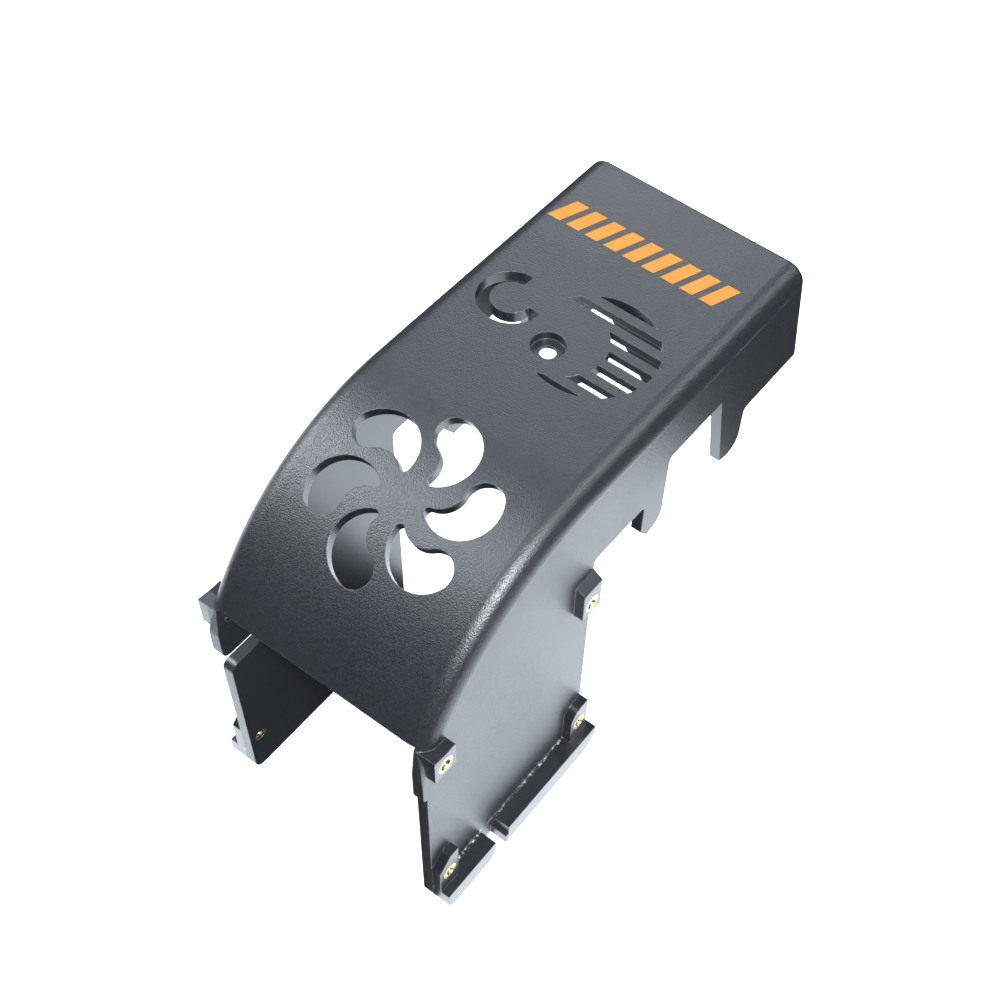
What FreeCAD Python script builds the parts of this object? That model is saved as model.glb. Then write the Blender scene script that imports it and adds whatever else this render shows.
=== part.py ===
import FreeCAD, Part
import math
import os
import Sketcher
from FreeCAD import Placement, Rotation, Vector

# Moulded cover shell of a 3-D printer hotend, its heat-set brass inserts and a printed graphic.
# Frame: +Z up with the foot flanges on z = 0, -Y the curved nose, +X the right wall, millimetres.

doc = FreeCAD.newDocument("hotend_cover")
sheet = doc.addObject("Spreadsheet::Sheet", "Dims")

# Driving dimensions: a level is a height above the feet, a pos is a place along Y.
dims = {
    # shell: top skin, curved nose, leaning rear wall
    "shell_width": 62.8, "shell_height": 110, "wall": 3, "skin": 3, "rim_fillet": 5,
    "rear_fillet": 1.8,
    "rear_pos": 69, "rear_lean": 7, "rear_level": 76,
    "nose_radius": 68, "nose_start_pos": -16, "front_pos": -74.8,
    "lobe_pos": -76, "lobe_level": 55.4, "lobe_top_level": 66,
    # hooks and lower edges of the side walls
    "hook_one_back_pos": 50.5, "hook_one_front_pos": 36.6, "hook_one_tip_pos": 42,
    "hook_one_level": 61, "hook_one_tip_level": 63.4, "waist_level": 90.2,
    "hook_two_back_pos": 14.7, "hook_two_front_pos": 6, "hook_two_level": 67,
    "hook_two_tip_level": 70.4, "hook_two_slant": 2.6, "left_hook_drop": 7, "arm_level": 80.6,
    "panel_rear_pos": -14, "root_fillet": 1.5, "hook_fillet": 4.5, "lobe_fillet": 1,
    # slot that opens the left wall to the front
    "slot_level": 50.6, "slot_tall": 5.8, "slot_end_pos": -54, "slot_fillet": 2.4,
    # foot flanges
    "flange_reach": 5.2, "flange_thick": 7.2, "foot_rear_pos": -55.8, "skid_front_pos": -51.5,
    "skid_step": 1, "skid_rear_pos": -12.5, "foot_fillet": 4, "skid_fillet": 6, "corner_fillet": 3,
    # insert bosses
    "boss_reach": 2.7, "boss_half": 3.4, "boss_front_pos": -71.2, "boss_rear_pos": -17.5,
    "upper_level": 69.8, "lower_level": 13.8, "roof_rise": 6, "roof_drop": 1.8,
    "nose_boss_rise": 4.5, "nose_boss_lift": 0.6, "foot_boss_rise": 7.7, "foot_boss_chamfer": 4,
    "skid_boss_rise": 7, "skid_boss_fillet": 4.2,
    # inserts, their holes and the screws' way on through the wall
    "insert_radius": 2.5, "insert_length": 5, "bore_radius": 1.25, "groove_radius": 2.2,
    "groove_length": 1, "insert_chamfer": 0.3, "screw_way_radius": 1.8,
    # cross rib under the rear vent slots
    "rib_pos": 30.5, "rib_thick": 2, "rib_top_half": 1.1, "rib_low_half": 13.4,
    # round vent of cross slots beside a plain pad, and a slot that follows three quarters of a circle
    "vent_x": 7, "vent_pos": 16, "vent_radius": 15.7, "vent_rear_pos": 31.8,
    "vent_pitch": 5, "vent_slot": 2.5, "vent_count": 7, "vent_skin": 2,
    "pad_x": -0.3, "pad_pos": 12.8, "pad_radius": 11.6,
    "arc_x": -16.6, "arc_pos": 16, "arc_radius": 8.3, "arc_inner_radius": 5,
    # sunk screw hole
    "screw_x": -1, "screw_pos": 9.4, "screw_head_radius": 4.2, "screw_head_depth": 2.2,
    "screw_hole_radius": 2,
    # fan opening: six petals about a hub on the nose
    "hub_x": -1.3, "hub_angle": 21.95, "petal_count": 6, "petal_turn": 19.3, "petal_reach": 16,
    "tail_x": 6.7, "tail_y": -2, "tail_radius": 1.1,
    "head_x": 17.6, "head_y": 3, "head_radius": 4.5, "back_radius": 8.9, "neck_radius": 5.8,
    # printed graphic of slanted bars
    "graphic_x": -27, "graphic_pos": 43.5, "graphic_tall": 8.2, "graphic_slant": 3,
    "graphic_thick": 0.1, "bar_count": 9, "bar_pitch": 5.5, "bar_wide": 3.6,
}
for row, (alias, number) in enumerate(dims.items(), start=1):
    sheet.set(f"A{row}", alias)
    sheet.set(f"B{row}", str(number))
    sheet.setAlias(f"B{row}", alias)
doc.recompute()


def bound(text):
    """An expression in bare aliases, rewritten to name the sheet."""
    words = []
    word = ""
    for letter in text + " ":
        if letter.isalnum() or letter == "_":
            word += letter
            continue
        words.append(f"Dims.{word}" if word in dims else word)
        words.append(letter)
        word = ""
    return "".join(words).strip()


def size(text):
    """The number that an expression in aliases gives."""
    return float(sheet.evalExpression(bound(text)))


# Lengths that several outlines share.
half = "shell_width / 2"
noseEnd = "shell_height - nose_radius + sqrt(nose_radius ^ 2 - (nose_start_pos - front_pos) ^ 2)"
innerShare = "(nose_radius - skin) / nose_radius"
innerNosePos = f"nose_start_pos - (nose_start_pos - front_pos) * {innerShare}"
innerNoseEnd = f"shell_height - nose_radius + ({noseEnd} - shell_height + nose_radius) * {innerShare}"
rearBottom = "rear_pos + rear_lean"
innerRear = "rear_pos - wall"


# ---- sketches and features -------------------------------------------------------------------

def sketchOn(body, name, role, shift="0"):
    """A sketch on one of the body's own origin planes, moved along the plane's normal."""
    sketch = body.newObject("Sketcher::SketchObject", name)
    plane = next(item for item in body.Origin.OriginFeatures if item.Role == role)
    sketch.AttachmentSupport = (plane, [""])
    sketch.MapMode = "FlatFace"
    sketch.setExpression("AttachmentOffset.Base.z", bound(shift))
    return sketch


def pin(sketch, edge, point, across, up):
    """Hold a point of the sketch at a place given by two expressions."""
    for kind, text in (("DistanceX", across), ("DistanceY", up)):
        number = sketch.addConstraint(Sketcher.Constraint(kind, edge, point, size(text)))
        sketch.setExpression(f"Constraints[{number}]", bound(text))


def setRadius(sketch, edge, text):
    """Give an arc or circle of the sketch its radius."""
    number = sketch.addConstraint(Sketcher.Constraint("Radius", edge, size(text)))
    sketch.setExpression(f"Constraints[{number}]", bound(text))


def arcBetween(centre, radius, start, end):
    """The arc about centre that runs anticlockwise from start to end."""
    angles = [math.atan2(place.y - centre.y, place.x - centre.x) for place in (start, end)]
    if angles[1] < angles[0]:
        angles[1] += 2 * math.pi
    return Part.ArcOfCircle(Part.Circle(centre, Vector(0, 0, 1), radius), *angles)


def outline(sketch, corners, arcs=None):
    """A closed loop through corners; arcs gives radius and centre of the arc leaving a corner."""
    arcs = arcs or {}
    first = sketch.GeometryCount
    places = [Vector(size(across), size(up), 0) for across, up in corners]
    for number, start in enumerate(places):
        end = places[(number + 1) % len(places)]
        if number in arcs:
            radius, across, up = arcs[number]
            sketch.addGeometry(arcBetween(Vector(size(across), size(up), 0), size(radius),
                                          start, end))
        else:
            sketch.addGeometry(Part.LineSegment(start, end))
    for number, (across, up) in enumerate(corners):
        following = first + (number + 1) % len(places)
        sketch.addConstraint(Sketcher.Constraint("Coincident", first + number, 2, following, 1))
        pin(sketch, first + number, 1, across, up)
    for number, (radius, across, up) in arcs.items():
        setRadius(sketch, first + number, radius)


def circle(sketch, across, up, radius):
    """A circle at a place given by two expressions."""
    centre = Vector(size(across), size(up), 0)
    edge = sketch.addGeometry(Part.Circle(centre, Vector(0, 0, 1), size(radius)))
    pin(sketch, edge, 3, across, up)
    setRadius(sketch, edge, radius)


def extrude(body, kind, name, sketch, length, both=False, reverse=False):
    """A Pad or Pocket of the sketch, one way or to both sides."""
    solids = [item for item in body.Group if item.isDerivedFrom("PartDesign::Feature")]
    before = solids[-1].Shape.Volume if solids else 0
    feature = body.newObject(f"PartDesign::{kind}", name)
    feature.Profile = sketch
    feature.setExpression("Length", bound(length))
    feature.SideType = "Symmetric" if both else "One side"
    feature.Reversed = reverse
    sketch.Visibility = False
    body.Tip = feature
    doc.recompute()
    changed = feature.Shape.Volume - before
    if changed * (1 if kind == "Pad" else -1) <= 0:
        raise RuntimeError(f"{name} changes the volume by {changed:.1f}")
    return feature


def dress(body, kind, name, base, edges, amount):
    """A Fillet or Chamfer on the edges of base that the rule picks."""
    names = [f"Edge{number}" for number, edge in enumerate(base.Shape.Edges, start=1)
             if edges(edge)]
    if not names:
        raise RuntimeError(f"{name} found no edge")
    feature = body.newObject(f"PartDesign::{kind}", name)
    feature.Base = (base, names)
    feature.setExpression("Radius" if kind == "Fillet" else "Size", bound(amount))
    body.Tip = feature
    doc.recompute()
    return feature


def middle(edge):
    """The point halfway along an edge."""
    return edge.valueAt((edge.FirstParameter + edge.LastParameter) / 2)


def crossing(*places):
    """A rule that picks edges along X through the given places in the YZ plane."""
    wanted = [(size(across), size(up)) for across, up in places]

    def picks(edge):
        ends = [vertex.Point for vertex in edge.Vertexes]
        if len(ends) != 2 or abs(ends[0].x - ends[1].x) < 1:
            return False
        return any(all(math.hypot(end.y - across, end.z - up) < 0.01 for end in ends)
                   for across, up in wanted)
    return picks


# ---- cover shell -----------------------------------------------------------------------------

def sideOutline(sketch):
    """Side view of the shell: top, nose, front edges, feet line, panel, hooks and rear wall."""
    corners = [
        ("rear_pos", "shell_height"),
        ("nose_start_pos", "shell_height"),
        ("front_pos", noseEnd),
        ("lobe_pos", "lobe_top_level"),
        ("lobe_pos", "lobe_level"),
        ("front_pos", "lobe_level"),
        ("front_pos", "0"),
        ("panel_rear_pos", "0"),
        ("panel_rear_pos", "arm_level"),
        ("hook_two_front_pos", "arm_level"),
        ("hook_two_front_pos", "hook_two_tip_level"),
        ("hook_two_front_pos + hook_two_slant", "hook_two_level"),
        ("hook_two_back_pos", "hook_two_level"),
        ("hook_two_back_pos", "waist_level"),
        ("hook_one_front_pos", "waist_level"),
        ("hook_one_tip_pos", "hook_one_tip_level"),
        ("hook_one_back_pos", "hook_one_level"),
        ("hook_one_back_pos", "rear_level"),
        (rearBottom, "rear_level"),
    ]
    outline(sketch, corners, {1: ("nose_radius", "nose_start_pos", "shell_height - nose_radius")})


def hollowOutline(sketch):
    """Side view of the space inside; it ends the skin square to the nose, open below and in front."""
    beyond = "front_pos - 10"
    corners = [
        (innerRear, "shell_height - skin"),
        ("nose_start_pos", "shell_height - skin"),
        (innerNosePos, innerNoseEnd),
        ("front_pos", noseEnd),
        (beyond, noseEnd),
        (beyond, "-5"),
        (f"{innerRear} + rear_lean * (shell_height - skin + 5) / (shell_height - rear_level)",
         "-5"),
    ]
    outline(sketch, corners,
            {1: ("nose_radius - skin", "nose_start_pos", "shell_height - nose_radius")})


def rimRule(edge):
    """Edges where the top and the nose meet the side walls."""
    spot = middle(edge)
    onTop = abs(spot.z - size("shell_height")) < 0.01
    fromNose = math.hypot(spot.y - size("nose_start_pos"),
                          spot.z - size("shell_height - nose_radius"))
    onNose = abs(fromNose - size("nose_radius")) < 0.01
    return abs(abs(spot.x) - size(half)) < 0.01 and (onTop or onNose)


def rearRule(edge):
    """Edges round the leaning rear wall, apart from its lower one."""
    slope = size("rear_lean / (shell_height - rear_level)")
    onRear = all(abs(spot.y - size("rear_pos") - slope * (size("shell_height") - spot.z)) < 0.01
                 for spot in (edge.Vertexes[0].Point, middle(edge), edge.Vertexes[-1].Point))
    return onRear and middle(edge).z > size("rear_level") + 1


def hollowShell(body):
    """The side outline pulled to full width, rounded, then hollowed."""
    sideView = sketchOn(body, "side_view", "YZ_Plane")
    sideOutline(sideView)
    block = extrude(body, "Pad", "block", sideView, "shell_width", both=True)
    roots = dress(body, "Fillet", "root_fillets", block, crossing(
        ("hook_one_back_pos", "rear_level"), ("hook_two_back_pos", "waist_level"),
        ("hook_two_front_pos", "arm_level"), ("panel_rear_pos", "arm_level")), "root_fillet")
    hooks = dress(body, "Fillet", "hook_fillets", roots, crossing(
        ("hook_one_back_pos", "hook_one_level"), ("hook_two_back_pos", "hook_two_level")),
        "hook_fillet")
    lobes = dress(body, "Fillet", "lobe_fillets", hooks, crossing(("lobe_pos", "lobe_level")),
                  "lobe_fillet")
    rim = dress(body, "Fillet", "rim_fillets", lobes, rimRule, "rim_fillet")
    dress(body, "Fillet", "rear_fillets", rim, rearRule, "rear_fillet")
    hollow = sketchOn(body, "hollow_view", "YZ_Plane")
    hollowOutline(hollow)
    return extrude(body, "Pocket", "hollow", hollow, "shell_width - 2 * wall", both=True)


def flangeOutlines(sketch):
    """Side view of the short foot and the long skid along the bottom of a wall."""
    outline(sketch, [("front_pos", "0"), ("foot_rear_pos", "0"),
                     ("foot_rear_pos", "flange_thick"), ("front_pos", "flange_thick")])
    outline(sketch, [("skid_front_pos", "0"), ("skid_rear_pos", "0"),
                     ("skid_rear_pos", "flange_thick"),
                     ("skid_front_pos + skid_step", "flange_thick"),
                     ("skid_front_pos + skid_step", "flange_thick / 2"),
                     ("skid_front_pos", "flange_thick / 2")])


def bossOutlines(sketch):
    """Side view of the four insert bosses on a wall."""
    upperFloor = "upper_level - boss_half"
    noseRoof = "upper_level + nose_boss_rise"
    outline(sketch, [("front_pos", upperFloor), ("boss_front_pos + boss_half", upperFloor),
                     ("boss_front_pos + boss_half", noseRoof), ("boss_front_pos", noseRoof),
                     ("front_pos", f"{noseRoof} + nose_boss_lift")])
    roof = "upper_level + roof_rise + roof_drop"
    outline(sketch, [("boss_rear_pos - boss_half", upperFloor), ("panel_rear_pos", upperFloor),
                     ("panel_rear_pos", roof), ("boss_rear_pos - boss_half", roof)])
    footRoof = "lower_level + foot_boss_rise"
    outline(sketch, [("front_pos", "1"), ("boss_front_pos + boss_half", "1"),
                     ("boss_front_pos + boss_half", footRoof),
                     ("front_pos + foot_boss_chamfer", footRoof),
                     ("front_pos", f"{footRoof} - foot_boss_chamfer")])
    skidRoof = "lower_level + skid_boss_rise"
    corner = "boss_rear_pos - boss_half"
    outline(sketch, [(corner, "1"), ("panel_rear_pos", "1"), ("panel_rear_pos", skidRoof),
                     (f"{corner} + skid_boss_fillet", skidRoof),
                     (corner, f"{skidRoof} - skid_boss_fillet")],
            {3: ("skid_boss_fillet", f"{corner} + skid_boss_fillet",
                 f"{skidRoof} - skid_boss_fillet")})


def outsideDetails(body):
    """Flanges and bosses on the right wall, mirrored to the left one, then rounded."""
    root = f"{half} - wall / 2"
    flangeView = sketchOn(body, "flange_view", "YZ_Plane", root)
    flangeOutlines(flangeView)
    flanges = extrude(body, "Pad", "flanges", flangeView, "flange_reach + wall / 2")
    bossRoot = "(wall - 0.2)"  # deep enough to meet the rounded rim, short of the wall's inner face
    bossView = sketchOn(body, "boss_view", "YZ_Plane", f"{half} - {bossRoot}")
    bossOutlines(bossView)
    bosses = extrude(body, "Pad", "bosses", bossView, f"boss_reach + {bossRoot}")
    mirrored = body.newObject("PartDesign::Mirrored", "left_side")
    mirrored.Originals = [flanges, bosses]
    middlePlane = next(item for item in body.Origin.OriginFeatures if item.Role == "YZ_Plane")
    mirrored.MirrorPlane = (middlePlane, [""])
    body.Tip = mirrored
    doc.recompute()
    feet = dress(body, "Fillet", "foot_fillets", mirrored,
                 crossing(("foot_rear_pos", "0")), "foot_fillet")
    skids = dress(body, "Fillet", "skid_fillets", feet,
                  crossing(("skid_rear_pos", "0")), "skid_fillet")
    dress(body, "Fillet", "corner_fillets", skids,
          crossing(("front_pos", "0")), "corner_fillet")


def roofCutters(body):
    """Sloping cuts that let the roof of each upper rear boss fall away from the wall."""
    roof = "upper_level + roof_rise"
    edge = f"{half} + boss_reach"
    for side in ("", "-"):
        view = sketchOn(body, f"roof_view{'_left' if side else '_right'}", "XZ_Plane",
                        "-boss_rear_pos")
        outline(view, [(f"{side}({half})", f"{roof} + roof_drop"), (f"{side}({edge})", roof),
                       (f"{side}({edge})", f"{roof} + 2 * roof_drop"),
                       (f"{side}({half})", f"{roof} + 2 * roof_drop")])
        extrude(body, "Pocket", f"roof{'_left' if side else '_right'}", view,
                "4 * boss_half", both=True)


def crossRib(body):
    """The rib under the skin behind the vent, open in the middle like a steep roof."""
    view = sketchOn(body, "rib_view", "XZ_Plane", "-rib_pos")
    outerX = f"{half} - wall / 2"
    top = "shell_height - skin / 2"
    ledge = "shell_height - skin"
    outline(view, [(f"-({outerX})", "waist_level"), ("-rib_low_half", "waist_level"),
                   ("-rib_top_half", ledge), ("rib_top_half", ledge),
                   ("rib_low_half", "waist_level"), (outerX, "waist_level"),
                   (outerX, top), (f"-({outerX})", top)])
    extrude(body, "Pad", "rib", view, "rib_thick", both=True)


def leftWallOnly(body):
    """The longer second hook of the left wall, and the slot that opens it to the front."""
    hookView = sketchOn(body, "left_hook_view", "YZ_Plane", f"-({half})")
    outline(hookView, [("hook_two_front_pos", "arm_level - 2"),
                       ("hook_two_front_pos", "hook_two_tip_level - left_hook_drop"),
                       ("hook_two_front_pos + hook_two_slant", "hook_two_level - left_hook_drop"),
                       ("hook_two_back_pos - 2", "hook_two_level - left_hook_drop"),
                       ("hook_two_back_pos", "hook_two_level - left_hook_drop + 3"),
                       ("hook_two_back_pos", "arm_level - 2")])
    extrude(body, "Pad", "left_hook", hookView, "wall")
    slotView = sketchOn(body, "slot_view", "YZ_Plane", f"-({half}) - 1")
    slotTop = "slot_level + slot_tall"
    outline(slotView, [("slot_end_pos", slotTop), ("lobe_pos - 2", slotTop),
                       ("lobe_pos - 2", "slot_level"), ("slot_end_pos", "slot_level")])
    slot = extrude(body, "Pocket", "side_slot", slotView, "wall + 2", reverse=True)
    return dress(body, "Fillet", "slot_fillets", slot,
                 crossing(("front_pos", "slot_level"), ("lobe_pos", slotTop),
                          ("slot_end_pos", "slot_level"), ("slot_end_pos", slotTop)),
                 "slot_fillet")


def screwHoles(body):
    """Pockets for the inserts in every boss, and the screws' clearance through the walls."""
    places = [(pos, level) for pos in ("boss_front_pos", "boss_rear_pos")
              for level in ("upper_level", "lower_level")]
    for side, name in (("", "right"), ("-", "left")):
        view = sketchOn(body, f"insert_view_{name}", "YZ_Plane", f"{side}({half} + boss_reach)")
        for pos, level in places:
            circle(view, pos, level, "insert_radius")
        extrude(body, "Pocket", f"insert_holes_{name}", view, "insert_length",
                reverse=bool(side))
    wayView = sketchOn(body, "screw_way_view", "YZ_Plane")
    for pos, level in places:
        circle(wayView, pos, level, "screw_way_radius")
    extrude(body, "Pocket", "screw_ways", wayView, f"2 * ({half} + boss_reach) + 2", both=True)
    topView = sketchOn(body, "screw_head_view", "XY_Plane", "shell_height")
    circle(topView, "screw_x", "screw_pos", "screw_head_radius")
    extrude(body, "Pocket", "screw_head", topView, "screw_head_depth")
    holeView = sketchOn(body, "screw_hole_view", "XY_Plane", "shell_height")
    circle(holeView, "screw_x", "screw_pos", "screw_hole_radius")
    extrude(body, "Pocket", "screw_hole", holeView, "skin + 1")


def meet(first, firstReach, second, secondReach):
    """Where circles about two centres cross, on the left of the line from first to second."""
    gap = second - first
    along = (firstReach ** 2 - secondReach ** 2 + gap.Length ** 2) / (2 * gap.Length)
    aside = math.sqrt(firstReach ** 2 - along ** 2)
    unit = gap / gap.Length
    return first + unit * along + Vector(-unit.y, unit.x, 0) * aside


def petalOutline(sketch):
    """A comma: round tail, wide back, round head and hollow neck, four tangent arcs."""
    turn = "petal_turn * 1 deg"
    spots = {}
    for name in ("tail", "head"):
        spots[name] = (f"{name}_x * cos({turn}) - {name}_y * sin({turn})",
                       f"{name}_x * sin({turn}) + {name}_y * cos({turn})")
    tail, head = [Vector(size(across), size(up), 0) for across, up in spots.values()]
    radii = {name: size(f"{name}_radius") for name in ("tail", "back", "head", "neck")}
    back = meet(tail, radii["back"] - radii["tail"], head, radii["back"] - radii["head"])
    neck = meet(tail, radii["neck"] + radii["tail"], head, radii["neck"] + radii["head"])
    tailBack = back + (tail - back).normalize() * radii["back"]
    backHead = back + (head - back).normalize() * radii["back"]
    headNeck = neck + (head - neck).normalize() * radii["neck"]
    neckTail = neck + (tail - neck).normalize() * radii["neck"]
    sketch.addGeometry(arcBetween(back, radii["back"], tailBack, backHead))
    sketch.addGeometry(arcBetween(head, radii["head"], backHead, headNeck))
    sketch.addGeometry(arcBetween(neck, radii["neck"], neckTail, headNeck))
    sketch.addGeometry(arcBetween(tail, radii["tail"], neckTail, tailBack))
    pin(sketch, 1, 3, *spots["head"])
    pin(sketch, 3, 3, *spots["tail"])
    for edge, name in enumerate(("back", "head", "neck", "tail")):
        setRadius(sketch, edge, f"{name}_radius")
    for joint in ((0, 2, 1, 1), (1, 2, 2, 2), (2, 1, 3, 1), (3, 2, 0, 1)):
        sketch.addConstraint(Sketcher.Constraint("Tangent", *joint))


def fanOpening(body):
    """One petal cut square to the nose at the hub, repeated round it."""
    view = sketchOn(body, "petal_view", "XY_Plane")
    view.AttachmentOffset = Placement(Vector(), Rotation(Vector(1, 0, 0), 1))
    hubTurn = "hub_angle * 1 deg"
    view.setExpression("AttachmentOffset.Base.x", bound("hub_x"))
    view.setExpression("AttachmentOffset.Base.y",
                       bound(f"nose_start_pos - nose_radius * sin({hubTurn})"))
    view.setExpression("AttachmentOffset.Base.z",
                       bound(f"shell_height - nose_radius * (1 - cos({hubTurn}))"))
    view.setExpression("AttachmentOffset.Rotation.Angle", bound(hubTurn))
    petalOutline(view)
    petal = extrude(body, "Pocket", "petal", view, "petal_reach", both=True)
    pattern = body.newObject("PartDesign::PolarPattern", "petals")
    pattern.Originals = [petal]
    pattern.Axis = (view, ["N_Axis"])
    pattern.Angle = 360
    pattern.setExpression("Occurrences", bound("petal_count"))
    body.Tip = pattern
    doc.recompute()
    return pattern


def primitive(kind, name, **sizes):
    """A Part primitive whose properties are bound to the sheet."""
    shape = doc.addObject(f"Part::{kind}", name)
    for prop, text in sizes.items():
        shape.setExpression(prop.replace("_", "."), bound(text))
    return shape


def joined(kind, name, first, second):
    """A Part boolean of two objects."""
    result = doc.addObject(f"Part::{kind}", name)
    result.Base = first
    result.Tool = second
    return result


def ventCutter():
    """Cross slots inside the round vent and off the plain pad, thinner skin there, and the arc."""
    under = "shell_height - skin"
    deep = "skin + 1"
    disc = primitive("Cylinder", "vent_disc", Radius="vent_radius", Height=deep,
                     Placement_Base_x="vent_x", Placement_Base_y="vent_pos",
                     Placement_Base_z=under)
    slots = []
    for count in range(dims["vent_count"]):
        slots.append(primitive(
            "Box", f"vent_slot_{count + 1}", Length="2 * vent_radius", Width="vent_slot",
            Height=deep, Placement_Base_x="vent_x - vent_radius",
            Placement_Base_y=f"vent_rear_pos - vent_slot - {count} * vent_pitch",
            Placement_Base_z=under))
    rack = doc.addObject("Part::MultiFuse", "vent_slots")
    rack.Shapes = slots
    grid = joined("Common", "vent_grid", disc, rack)
    pad = primitive("Cylinder", "vent_pad", Radius="pad_radius", Height=deep,
                    Placement_Base_x="pad_x", Placement_Base_y="pad_pos",
                    Placement_Base_z=under)
    vent = joined("Cut", "vent", grid, pad)
    thinned = "skin - vent_skin + 1"
    thinDisc = primitive("Cylinder", "thin_disc", Radius="vent_radius", Height=thinned,
                         Placement_Base_x="vent_x", Placement_Base_y="vent_pos",
                         Placement_Base_z=f"{under} - 1")
    thinPad = primitive("Cylinder", "thin_pad", Radius="pad_radius", Height=thinned,
                        Placement_Base_x="pad_x", Placement_Base_y="pad_pos",
                        Placement_Base_z=f"{under} - 1")
    thinning = joined("Cut", "vent_thinning", thinDisc, thinPad)
    arcDisc = primitive("Cylinder", "arc_disc", Radius="arc_radius", Height=deep,
                        Placement_Base_x="arc_x", Placement_Base_y="arc_pos",
                        Placement_Base_z=under)
    core = primitive("Cylinder", "arc_core", Radius="arc_inner_radius", Height=deep,
                     Placement_Base_x="arc_x", Placement_Base_y="arc_pos",
                     Placement_Base_z=under)
    gate = primitive("Box", "arc_gate", Length="arc_radius + 1", Width="arc_radius + 1",
                     Height=deep, Placement_Base_x="arc_x", Placement_Base_y="arc_pos",
                     Placement_Base_z=under)
    arc = joined("Cut", "arc", joined("Cut", "arc_ring", arcDisc, core), gate)
    openings = doc.addObject("Part::MultiFuse", "top_openings")
    openings.Shapes = [vent, arc, thinning]
    return openings


def makeShell():
    """The whole moulded shell."""
    body = doc.addObject("PartDesign::Body", "moulding")
    hollowShell(body)
    outsideDetails(body)
    roofCutters(body)
    crossRib(body)
    leftWallOnly(body)
    screwHoles(body)
    fanOpening(body)
    return joined("Cut", "cover_shell", body, ventCutter())


# ---- inserts and graphic ---------------------------------------------------------------------

def makeInsert(label, side, pos, level):
    """A brass bush with two knurled bands, its mouth flush with the boss; local +X goes in."""
    body = doc.addObject("PartDesign::Body", label)
    body.Label = label
    view = sketchOn(body, f"{label}_profile", "XY_Plane")
    grooveStart = "(insert_length - groove_length) / 2"
    grooveEnd = "(insert_length + groove_length) / 2"
    outline(view, [("0", "bore_radius"), ("0", "insert_radius"),
                   (grooveStart, "insert_radius"), (grooveStart, "groove_radius"),
                   (grooveEnd, "groove_radius"), (grooveEnd, "insert_radius"),
                   ("insert_length - insert_chamfer", "insert_radius"),
                   ("insert_length", "insert_radius - insert_chamfer"),
                   ("insert_length", "bore_radius")])
    turned = body.newObject("PartDesign::Revolution", f"{label}_turned")
    turned.Profile = view
    turned.ReferenceAxis = (view, ["H_Axis"])
    turned.Angle = 360
    body.Tip = turned
    inward = Rotation(Vector(0, 0, 1), 180 if side else 0)
    body.Placement = Placement(Vector(), inward)
    face = f"{half} + boss_reach"
    body.setExpression("Placement.Base.x", bound(face if side else f"-({face})"))
    body.setExpression("Placement.Base.y", bound(pos))
    body.setExpression("Placement.Base.z", bound(level))
    return body


def makeGraphic():
    """A band of slanted bars printed across the rear of the top skin."""
    body = doc.addObject("PartDesign::Body", "top_graphic")
    body.Label = "top_graphic"
    view = sketchOn(body, "graphic_view", "XY_Plane", "shell_height")
    for count in range(dims["bar_count"]):
        left = f"graphic_x + {count} * bar_pitch"
        outline(view, [(left, "graphic_pos"), (f"{left} + bar_wide", "graphic_pos"),
                       (f"{left} + bar_wide + graphic_slant", "graphic_pos + graphic_tall"),
                       (f"{left} + graphic_slant", "graphic_pos + graphic_tall")])
    extrude(body, "Pad", "graphic", view, "graphic_thick")
    return body


def main():
    shell = makeShell()
    shell.Label = "cover_shell"
    pieces = [shell]
    for right, wall in ((True, "right"), (False, "left")):
        for pos, end in (("boss_front_pos", "front"), ("boss_rear_pos", "rear")):
            for level, height in (("upper_level", "upper"), ("lower_level", "lower")):
                label = f"insert_{wall}_{end}_{height}"
                pieces.append(makeInsert(label, right, pos, level))
    pieces.append(makeGraphic())
    doc.recompute()
    failed = [item.Name for item in doc.Objects
              if {"Invalid", "Error"} & set(item.State)]
    if failed:
        raise RuntimeError(f"these objects failed: {failed}")
    for piece in pieces:
        if piece.Shape.isNull() or not piece.Shape.isValid():
            raise RuntimeError(f"{piece.Label} has no valid shape")
    os.makedirs("parts", exist_ok=True)
    for piece in pieces:
        piece.Shape.exportStep(os.path.join("parts", f"{piece.Label}.step"))
        print(f"{piece.Label}: {piece.Shape.Volume:.0f} mm3, {len(piece.Shape.Solids)} solids")


main()
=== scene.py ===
import math

import bpy
import numpy as np
from mathutils import Matrix, Vector


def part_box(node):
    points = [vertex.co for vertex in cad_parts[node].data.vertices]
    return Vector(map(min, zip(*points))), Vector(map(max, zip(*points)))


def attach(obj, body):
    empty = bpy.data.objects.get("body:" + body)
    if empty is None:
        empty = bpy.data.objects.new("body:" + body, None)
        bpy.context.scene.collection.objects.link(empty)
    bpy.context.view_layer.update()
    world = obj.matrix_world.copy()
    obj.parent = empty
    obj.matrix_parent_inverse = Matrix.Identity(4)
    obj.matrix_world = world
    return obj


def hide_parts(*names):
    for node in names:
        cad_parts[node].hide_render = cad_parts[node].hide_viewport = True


# Looks for the moulded cover shell of a printer hotend, its brass inserts and its printed band.
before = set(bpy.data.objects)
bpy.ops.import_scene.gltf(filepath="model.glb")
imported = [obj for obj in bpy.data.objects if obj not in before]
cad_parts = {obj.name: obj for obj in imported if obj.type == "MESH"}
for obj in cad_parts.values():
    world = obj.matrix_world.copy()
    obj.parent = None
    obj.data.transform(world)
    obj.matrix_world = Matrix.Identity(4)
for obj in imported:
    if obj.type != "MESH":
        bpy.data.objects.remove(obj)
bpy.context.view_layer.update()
scene = bpy.context.scene
print("frame loaded:", sorted(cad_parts))


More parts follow.
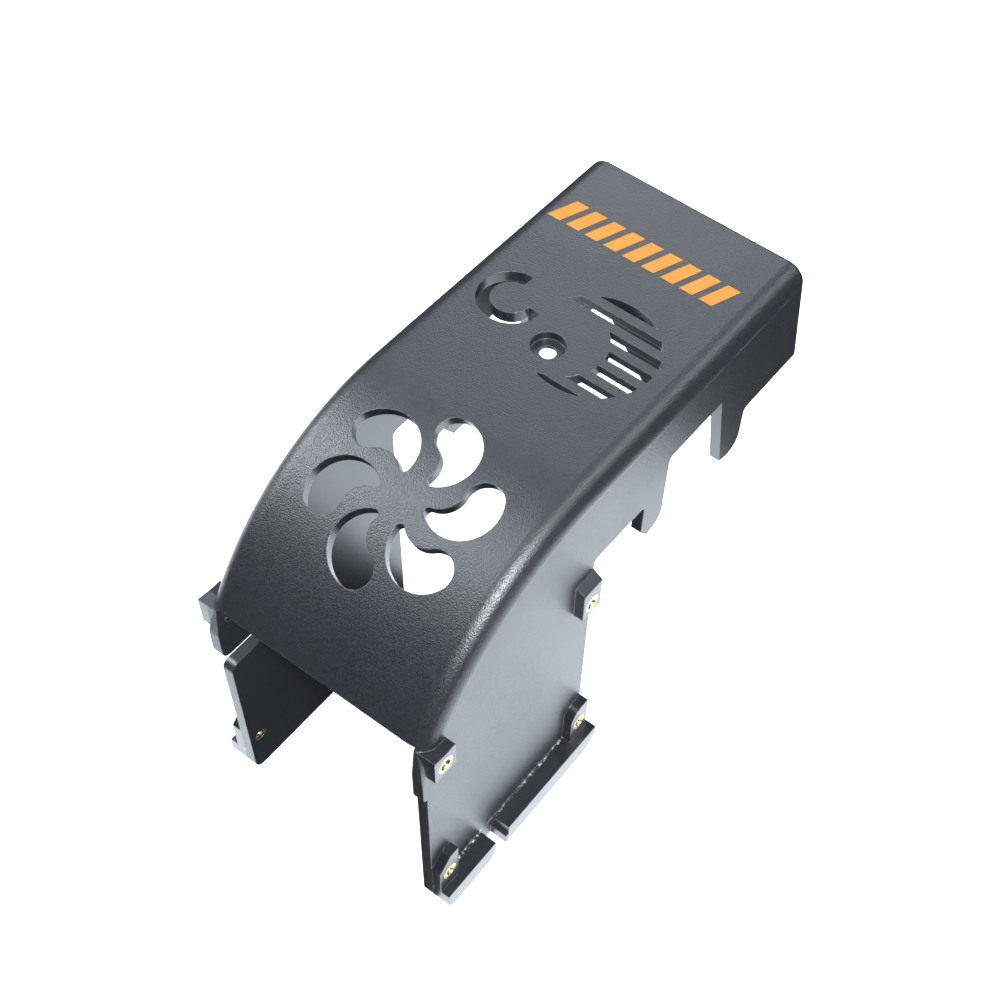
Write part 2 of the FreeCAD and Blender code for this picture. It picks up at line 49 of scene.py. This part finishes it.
# place in metres, the camera's own axes, and its lens in millimetres
cameraSetup = {
    "place": (0.13451, -0.18655, 0.35969),
    "right": (0.80996, 0.58151, 0.07620),
    "up": (-0.52487, 0.66076, 0.53657),
    "back": (0.26168, -0.47459, 0.84041),
    "lens": 54.12,
    "shift": (-0.1142, 0.1416),
}


def makeCamera(setup):
    data = bpy.data.cameras.new("productCamera")
    data.lens = setup["lens"]
    data.sensor_width = 36
    data.shift_x, data.shift_y = setup["shift"]
    data.clip_start, data.clip_end = 0.01, 20
    camera = bpy.data.objects.new("productCamera", data)
    scene.collection.objects.link(camera)
    turn = Matrix((setup["right"], setup["up"], setup["back"])).transposed()
    camera.matrix_world = Matrix.Translation(setup["place"]) @ turn.to_4x4()
    scene.camera = camera


makeCamera(cameraSetup)
print("camera made")


# one output socket: arithmetic on it adds Math nodes to its material
class Wire:
    def __init__(self, kit, socket):
        self.kit = kit
        self.socket = socket

    def maths(self, operation, *values):
        return self.kit.node("ShaderNodeMath", {"operation": operation}, dict(enumerate(values)))

    def root(self):
        return self.maths("SQRT", self)

    def most(self, other):
        return self.maths("MAXIMUM", self, other)

    def least(self, other):
        return self.maths("MINIMUM", self, other)

    def __add__(self, other):
        return self.maths("ADD", self, other)

    def __radd__(self, other):
        return self.maths("ADD", other, self)

    def __sub__(self, other):
        return self.maths("SUBTRACT", self, other)

    def __rsub__(self, other):
        return self.maths("SUBTRACT", other, self)

    def __mul__(self, other):
        return self.maths("MULTIPLY", self, other)

    def __rmul__(self, other):
        return self.maths("MULTIPLY", other, self)

    def __abs__(self):
        return self.maths("ABSOLUTE", self)

    # smooth step from start to end as the value goes from low to high
    def ramp(self, low, high, start=0.0, end=1.0):
        return self.kit.node("ShaderNodeMapRange",
                             {"interpolation_type": "SMOOTHSTEP", "clamp": True},
                             {"Value": self, "From Min": low, "From Max": high,
                              "To Min": start, "To Max": end})


# a material's nodes: node() adds any kind, set() fills the shader's own sockets
class Kit:
    def __init__(self, name):
        self.material = bpy.data.materials.new(name)
        self.material.use_nodes = True
        self.tree = self.material.node_tree
        self.shader = self.tree.nodes["Principled BSDF"]

    def node(self, kind, settings=None, inputs=None, output=0):
        made = self.tree.nodes.new(kind)
        for name, value in (settings or {}).items():
            setattr(made, name, value)
        for name, value in (inputs or {}).items():
            self.put(made.inputs[name], value)
        return Wire(self, made.outputs[output])

    def put(self, socket, value):
        if isinstance(value, Wire):
            self.tree.links.new(value.socket, socket)
        else:
            socket.default_value = value

    def set(self, **sockets):
        for name, value in sockets.items():
            self.put(self.shader.inputs[name.replace("_", " ")], value)

    def position(self):
        return self.node("ShaderNodeTexCoord", output="Object")

    def axes(self, vector):
        made = self.tree.nodes.new("ShaderNodeSeparateXYZ")
        self.put(made.inputs[0], vector)
        return [Wire(self, socket) for socket in made.outputs]

    def noise(self, vector, scale, detail=2.0, rough=0.5):
        return self.node("ShaderNodeTexNoise", {"noise_dimensions": "3D"},
                         {"Vector": vector, "Scale": scale, "Detail": detail, "Roughness": rough})

    def cells(self, vector, scale):
        return self.node("ShaderNodeTexVoronoi", {"feature": "F1"},
                         {"Vector": vector, "Scale": scale})

    # two colours mixed by a factor
    def blend(self, factor, first, second):
        made = self.tree.nodes.new("ShaderNodeMix")
        made.data_type = "RGBA"
        self.put(made.inputs["Factor"], factor)
        self.put(made.inputs[6], first)
        self.put(made.inputs[7], second)
        return Wire(self, made.outputs[2])

    def bump(self, height, strength, distance, normal=None):
        inputs = {"Height": height, "Strength": strength, "Distance": distance}
        if normal is not None:
            inputs["Normal"] = normal
        return self.node("ShaderNodeBump", None, inputs)


plastic = {
    "dark": (0.0056, 0.0063, 0.0078, 1), "light": (0.0090, 0.0100, 0.0120, 1),
    # the lighter edge colour is partly wear and partly a painted highlight along the edges
    "scuff": (0.36, 0.37, 0.39, 1), "edgeWearAndHighlight": (0.070, 0.074, 0.080, 1),
    "grainScale": 2700, "grainDeep": 0.00006, "grainStrength": 0.85,
    "grainRoughness": (0.37, 0.45), "smoothRoughness": (0.30, 0.33), "mottleScale": 2300,
    "edgeRadius": 0.00035,
    "wallInside": 0.0298,  # between the wall's inner face and its outer one
    "noseStart": -0.016, "noseCentre": 0.042, "noseRadius": 0.068,
    "wallOutside": 0.0316, "rearStart": 0.060,
    "flangeTop": 0.0072, "scuffBand": (0.0312, 0.0318),
    "partingInset": 0.0054, "partingWide": 0.00010, "partingLow": 0.060,
}


# Black moulding: pebbled outside, smooth inside and cut faces, glossy bosses, edges lightened partly
# as wear and partly as a painted highlight.
# Outward share: the normal's part along the line away from the nose's axis, which is straight up
# on the flat top. It is 1 on the outer skin, 0 on cut walls and -1 inside.
def makePlastic(setup):
    kit = Kit("mouldedPlastic")
    place = kit.position()
    x, y, z = kit.axes(place)
    nx, ny, nz = kit.axes(kit.node("ShaderNodeTexCoord", output="Normal"))
    awayY = (y - setup["noseStart"]).least(0.0)
    outward = (ny * awayY + nz * (z - setup["noseCentre"])) * (1 / setup["noseRadius"])
    skin = outward.ramp(0.45, 0.75)
    side = abs(nx).ramp(0.55, 0.8) * abs(x).ramp(setup["wallInside"], setup["wallInside"] + 0.0006)
    rear = ny.ramp(0.6, 0.8) * y.ramp(setup["rearStart"], setup["rearStart"] + 0.005)
    proud = abs(x).ramp(setup["wallOutside"] - 0.0001, setup["wallOutside"] + 0.0001)
    grained = skin.most(side).most(rear) * (1 - proud)
    pebble = kit.cells(place, setup["grainScale"])
    fine = kit.noise(place, setup["grainScale"] * 2.1, 2)
    mottle = kit.noise(place, setup["mottleScale"], 3, 0.6)
    patch = kit.noise(place, 45, 2)

    # edges: a lighter colour where the rounded normal turns away from the face's own, broken up by
    # noise; partly wear, partly a painted highlight along the edges
    edge = kit.node("ShaderNodeBevel", {"samples": 4}, {"Radius": setup["edgeRadius"]})
    ground = kit.node("ShaderNodeNewGeometry", output="Normal")
    turned = kit.node("ShaderNodeVectorMath", {"operation": "DOT_PRODUCT"},
                      {0: edge, 1: ground}, "Value")
    wornEdgeAndHighlight = turned.ramp(0.97, 0.80) * kit.noise(place, 700, 3, 0.7).ramp(0.32, 0.56)

    # scuffs: a ragged line along the flanges' tops, beside the wall
    low = z.ramp(setup["flangeTop"] - 0.0007, setup["flangeTop"] - 0.0001)
    high = 1 - z.ramp(setup["flangeTop"] + 0.0004, setup["flangeTop"] + 0.0009)
    scuffStart, scuffEnd = setup["scuffBand"]
    nearWall = (abs(x).ramp(scuffStart, scuffStart + 0.00015)
                * (1 - abs(x).ramp(scuffEnd, scuffEnd + 0.0005)))
    scratch = kit.noise(place, 1300, 4, 0.8).ramp(0.50, 0.64)
    scuffs = low * high * nearWall * scratch

    colour = kit.blend(mottle.ramp(0.35, 0.65), setup["dark"], setup["light"])
    # painted edge highlight and wear: the lighter edge colour where the rounded normal turns
    colour = kit.blend(wornEdgeAndHighlight, colour, setup["edgeWearAndHighlight"])
    colour = kit.blend(scuffs, colour, setup["scuff"])

    # parting line of the mould: a hair of flash at a fixed distance inside the nose's radius
    up = z - setup["noseCentre"]
    inset = setup["noseRadius"] - (awayY * awayY + up * up).root()
    line = 1 - abs(inset - setup["partingInset"]).ramp(setup["partingWide"], 2 * setup["partingWide"])
    nearRim = side * z.ramp(setup["partingLow"], setup["partingLow"] + 0.015)
    parting = line * nearRim * kit.noise(place, 130, 2).ramp(0.42, 0.60)
    # the flash is drawn as a lighter line in the edge colour
    colour = kit.blend(parting * 0.8, colour, setup["edgeWearAndHighlight"])
    matt, dull = setup["grainRoughness"]
    gloss, satin = setup["smoothRoughness"]
    rough = (grained * (mottle.ramp(0.3, 0.7, matt, dull) + patch.ramp(0.3, 0.7, -0.012, 0.012))
             + (1 - grained) * mottle.ramp(0.3, 0.7, gloss, satin))
    height = ((1 - pebble) + fine * 0.35) * grained + parting * 0.8
    normal = kit.bump(height, setup["grainStrength"], setup["grainDeep"], edge)
    kit.set(Base_Color=colour, Roughness=rough, Normal=normal, Specular_IOR_Level=0.5, IOR=1.5)
    return kit.material


ink = {
    "light": (0.262, 0.112, 0.021, 1), "dark": (0.225, 0.096, 0.017, 1),
    "roughness": (0.55, 0.68), "specular": 0.12, "meshScale": 2600,
}


# orange screen print with a faint screen mesh and thin speckles
def makeInk(setup):
    kit = Kit("printInk")
    place = kit.position()
    speckle = kit.noise(place, 1700, 3, 0.7)
    patch = kit.noise(place, 190, 3)
    screen = kit.cells(place, setup["meshScale"])
    colour = kit.blend(patch.ramp(0.35, 0.7) * 0.5 + speckle.ramp(0.45, 0.75) * 0.5,
                       setup["light"], setup["dark"])
    smooth, matt = setup["roughness"]
    normal = kit.bump(screen + speckle * 0.5, 0.3, 0.00004)
    kit.set(Base_Color=colour, Roughness=speckle.ramp(0.3, 0.7, smooth, matt), Normal=normal,
            Specular_IOR_Level=setup["specular"])
    return kit.material


brass = {
    "bright": (0.83, 0.60, 0.27, 1), "dull": (0.55, 0.37, 0.15, 1),
    "roughness": (0.20, 0.42), "ringScale": 5200,
}


# turned brass with fine tool marks and a little tarnish
def makeBrass(setup):
    kit = Kit("insertBrass")
    place = kit.position()
    tarnish = kit.noise(place, 900, 4, 0.6)
    rings = kit.noise(place, setup["ringScale"], 2)
    colour = kit.blend(tarnish.ramp(0.4, 0.7), setup["bright"], setup["dull"])
    smooth, matt = setup["roughness"]
    kit.set(Base_Color=colour, Metallic=1.0, Roughness=tarnish.ramp(0.3, 0.75, smooth, matt),
            Normal=kit.bump(rings, 0.25, 0.00003))
    return kit.material


plasticMaterial = makePlastic(plastic)
inkMaterial = makeInk(ink)
brassMaterial = makeBrass(brass)
for name, material in (("cover_shell", plasticMaterial), ("top_graphic", inkMaterial)):
    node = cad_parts[name]
    node.data.materials.clear()
    node.data.materials.append(material)
print("materials made")


insert = {
    "radius": 0.0025, "bore": 0.00125, "mouth": 0.00165, "length": 0.005, "groove": 0.0022,
    "grooveLength": 0.001, "chamfer": 0.0003, "lip": 0.0002, "knurlDeep": 0.00018, "knurls": 24,
    "pitch": 0.0005, "threadDeep": 0.00022, "around": 96, "boreRows": 64,
}


# Radius and depth on a grid of turn by station: knurled outside, mouth face and threaded bore.
# The profile is walked from the far end along the outside to the mouth and back down the bore.
# Knurl: the radius sinks by a triangle wave of the turn. Thread: the bore's radius grows by a
# triangle wave of depth over pitch less the turn, so its ridges climb as a helix.
def insertSurface(setup):
    turns = np.linspace(0, 2 * np.pi, setup["around"], endpoint=False)
    length, chamfer = setup["length"], setup["chamfer"]
    grooveStart = (length - setup["grooveLength"]) / 2
    grooveEnd = (length + setup["grooveLength"]) / 2
    lip = setup["lip"]
    outside = np.array([length, length - chamfer, grooveEnd, grooveEnd, grooveStart,
                        grooveStart, lip, 0.0])
    outsideRadius = np.array([setup["radius"] - chamfer, setup["radius"], setup["radius"],
                              setup["groove"], setup["groove"], setup["radius"],
                              setup["radius"], setup["radius"] - lip / 2])
    knurled = np.array([0, 1, 1, 0, 0, 1, 1, 0])
    boreDepth = np.linspace(2 * lip, length - lip, setup["boreRows"])
    depth = np.concatenate([outside, [0.0], boreDepth, [length]])
    radius = np.concatenate([outsideRadius, [setup["mouth"]],
                             np.full(boreDepth.size, setup["bore"]), [setup["mouth"]]])
    wave = np.abs(((turns * setup["knurls"] / (2 * np.pi)) % 1) - 0.5) * 2
    sink = np.concatenate([knurled, np.zeros(boreDepth.size + 2)]) * setup["knurlDeep"]
    phase = (depth[:, None] / setup["pitch"] - turns[None, :] / (2 * np.pi)) % 1
    cut = np.abs(phase - 0.5) * 2 * setup["threadDeep"]
    threaded = np.concatenate([np.zeros(outside.size + 1), np.ones(boreDepth.size), [0.0]])
    reach = radius[:, None] - sink[:, None] * wave[None, :] + threaded[:, None] * cut
    return turns, depth, reach


# the insert surface on a node's box, its mouth outward, closed on itself
def makeInsert(node, setup):
    low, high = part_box(node)
    side = 1 if (low.x + high.x) > 0 else -1
    face = high.x if side > 0 else low.x
    midY, midZ = (low.y + high.y) / 2, (low.z + high.z) / 2
    turns, depth, reach = insertSurface(setup)
    rows, columns = reach.shape
    points = np.empty((rows, columns, 3))
    points[..., 0] = (face - side * depth)[:, None]
    points[..., 1] = midY + reach * np.cos(turns)[None, :] * side
    points[..., 2] = midZ + reach * np.sin(turns)[None, :]
    row, column = np.meshgrid(np.arange(rows), np.arange(columns), indexing="ij")
    nextRow, nextColumn = (row + 1) % rows, (column + 1) % columns
    quads = np.stack([row * columns + column, row * columns + nextColumn,
                      nextRow * columns + nextColumn, nextRow * columns + column], axis=-1)
    mesh = bpy.data.meshes.new(f"brass_{node}")
    mesh.from_pydata(points.reshape(-1, 3), [], quads.reshape(-1, 4)[:, ::-1])
    mesh.validate()
    mesh.materials.append(brassMaterial)
    mesh.shade_smooth()
    mesh.set_sharp_from_angle(angle=math.radians(35))
    piece = bpy.data.objects.new(f"brass_{node}", mesh)
    scene.collection.objects.link(piece)
    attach(piece, "root")
    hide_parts(node)
    return piece


inserts = [makeInsert(node, insert) for node in sorted(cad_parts) if node.startswith("insert")]
print("inserts made:", len(inserts))


studio = {
    "floorSize": 3.0, "floorLow": 0.0001, "floorGlow": 0.98, "floorColour": (0.80, 0.80, 0.80, 1),
    "wallTop": 4.0, "wallGlow": 0.95,
    "cardTint": (0.84, 0.92, 1.0, 1), "cardLow": 0.004, "cardGlow": 3.8,
    "cardSize": 0.6, "cardRear": 0.088, "cardFront": -0.12,
    "gapHalf": 0.031, "gapRear": 0.0,  # no card under the nose, between the side walls
    "world": (0.30, 0.325, 0.36, 1), "worldStrength": 0.10,
    "lights": [
        # name, place, size, power, colour
        ("rearSoftbox", (-0.45, 0.80, 0.75), 0.55, 5.8, (0.86, 0.93, 1.0)),
        ("noseSoftbox", (-0.46, -0.22, 0.78), 0.42, 10.0, (0.88, 0.94, 1.0)),
        ("leftRim", (-0.90, -0.20, 0.64), 0.40, 8.5, (0.90, 0.95, 1.0)),
        ("rightRim", (0.56, -0.37, 0.86), 0.14, 33.0, (0.90, 0.95, 1.0)),
        ("rearRim", (0.44, 0.47, 0.80), 0.24, 5.2, (0.90, 0.95, 1.0)),
    ],
}


# four corners of a level rectangle, given by its lowest and highest X and Y
def levelCorners(x0, y0, x1, y1, height):
    return [(x0, y0, height), (x1, y0, height), (x1, y1, height), (x0, y1, height)]


# one object of the studio, made of four-cornered faces that glow
def makeStageFaces(name, faces, colour, tint, glow):
    mesh = bpy.data.meshes.new(name)
    mesh.from_pydata([corner for face in faces for corner in face], [],
                     [tuple(range(4 * n, 4 * n + 4)) for n in range(len(faces))])
    plane = bpy.data.objects.new(name, mesh)
    scene.collection.objects.link(plane)
    kit = Kit(f"{name}Paint")
    kit.set(Base_Color=colour, Roughness=0.9, Emission_Color=tint, Emission_Strength=glow)
    mesh.materials.append(kit.material)
    return plane


# square lights, each turned to the middle of the object
def makeLights(lights):
    aim = Vector((0, 0, 0.05))
    for name, place, width, power, colour in lights:
        data = bpy.data.lights.new(name, "AREA")
        data.shape = "SQUARE"
        data.size = width
        data.energy = power
        data.color = colour
        light = bpy.data.objects.new(name, data)
        scene.collection.objects.link(light)
        light.location = place
        light.rotation_euler = (aim - Vector(place)).to_track_quat("-Z", "Y").to_euler()


def makeWorld(setup):
    world = bpy.data.worlds.new("studioWorld")
    world.use_nodes = True
    backdrop = world.node_tree.nodes["Background"]
    backdrop.inputs["Color"].default_value = setup["world"]
    backdrop.inputs["Strength"].default_value = setup["worldStrength"]
    scene.world = world
    scene.view_settings.view_transform = "Standard"


# floor, pale walls round it, and a glowing card under it that only reflections see
def makeStudio(setup):
    size, low, top = setup["floorSize"], -setup["floorLow"], setup["wallTop"]
    white = (1.0, 1.0, 1.0, 1)
    floor = makeStageFaces("studioFloor", [levelCorners(-size, -size, size, size, low)],
                           setup["floorColour"], white, setup["floorGlow"])
    floor.visible_glossy = False  # shiny faces see the light card under the floor instead
    ring = levelCorners(-size, -size, size, size, low)
    sides = [(a, b, b[:2] + (top,), a[:2] + (top,)) for a, b in zip(ring, ring[1:] + ring[:1])]
    walls = makeStageFaces("studioWalls", sides, setup["floorColour"], white, setup["wallGlow"])
    walls.visible_glossy = False  # a pale background only, with no part in the light
    walls.visible_diffuse = False
    walls.visible_shadow = False
    wide, rear, front = setup["cardSize"], setup["cardRear"], setup["cardFront"]
    gap, gapRear = setup["gapHalf"], setup["gapRear"]
    patches = [(gap, front, wide, rear), (-wide, front, -gap, rear), (-gap, gapRear, gap, rear)]
    card = makeStageFaces("lightCard",
                          [levelCorners(*patch, -setup["cardLow"]) for patch in patches],
                          (0.0, 0.0, 0.0, 1), setup["cardTint"], setup["cardGlow"])
    card.visible_camera = False
    card.visible_diffuse = False
    card.visible_shadow = False
    makeLights(setup["lights"])
    makeWorld(setup)


makeStudio(studio)
print("studio made")
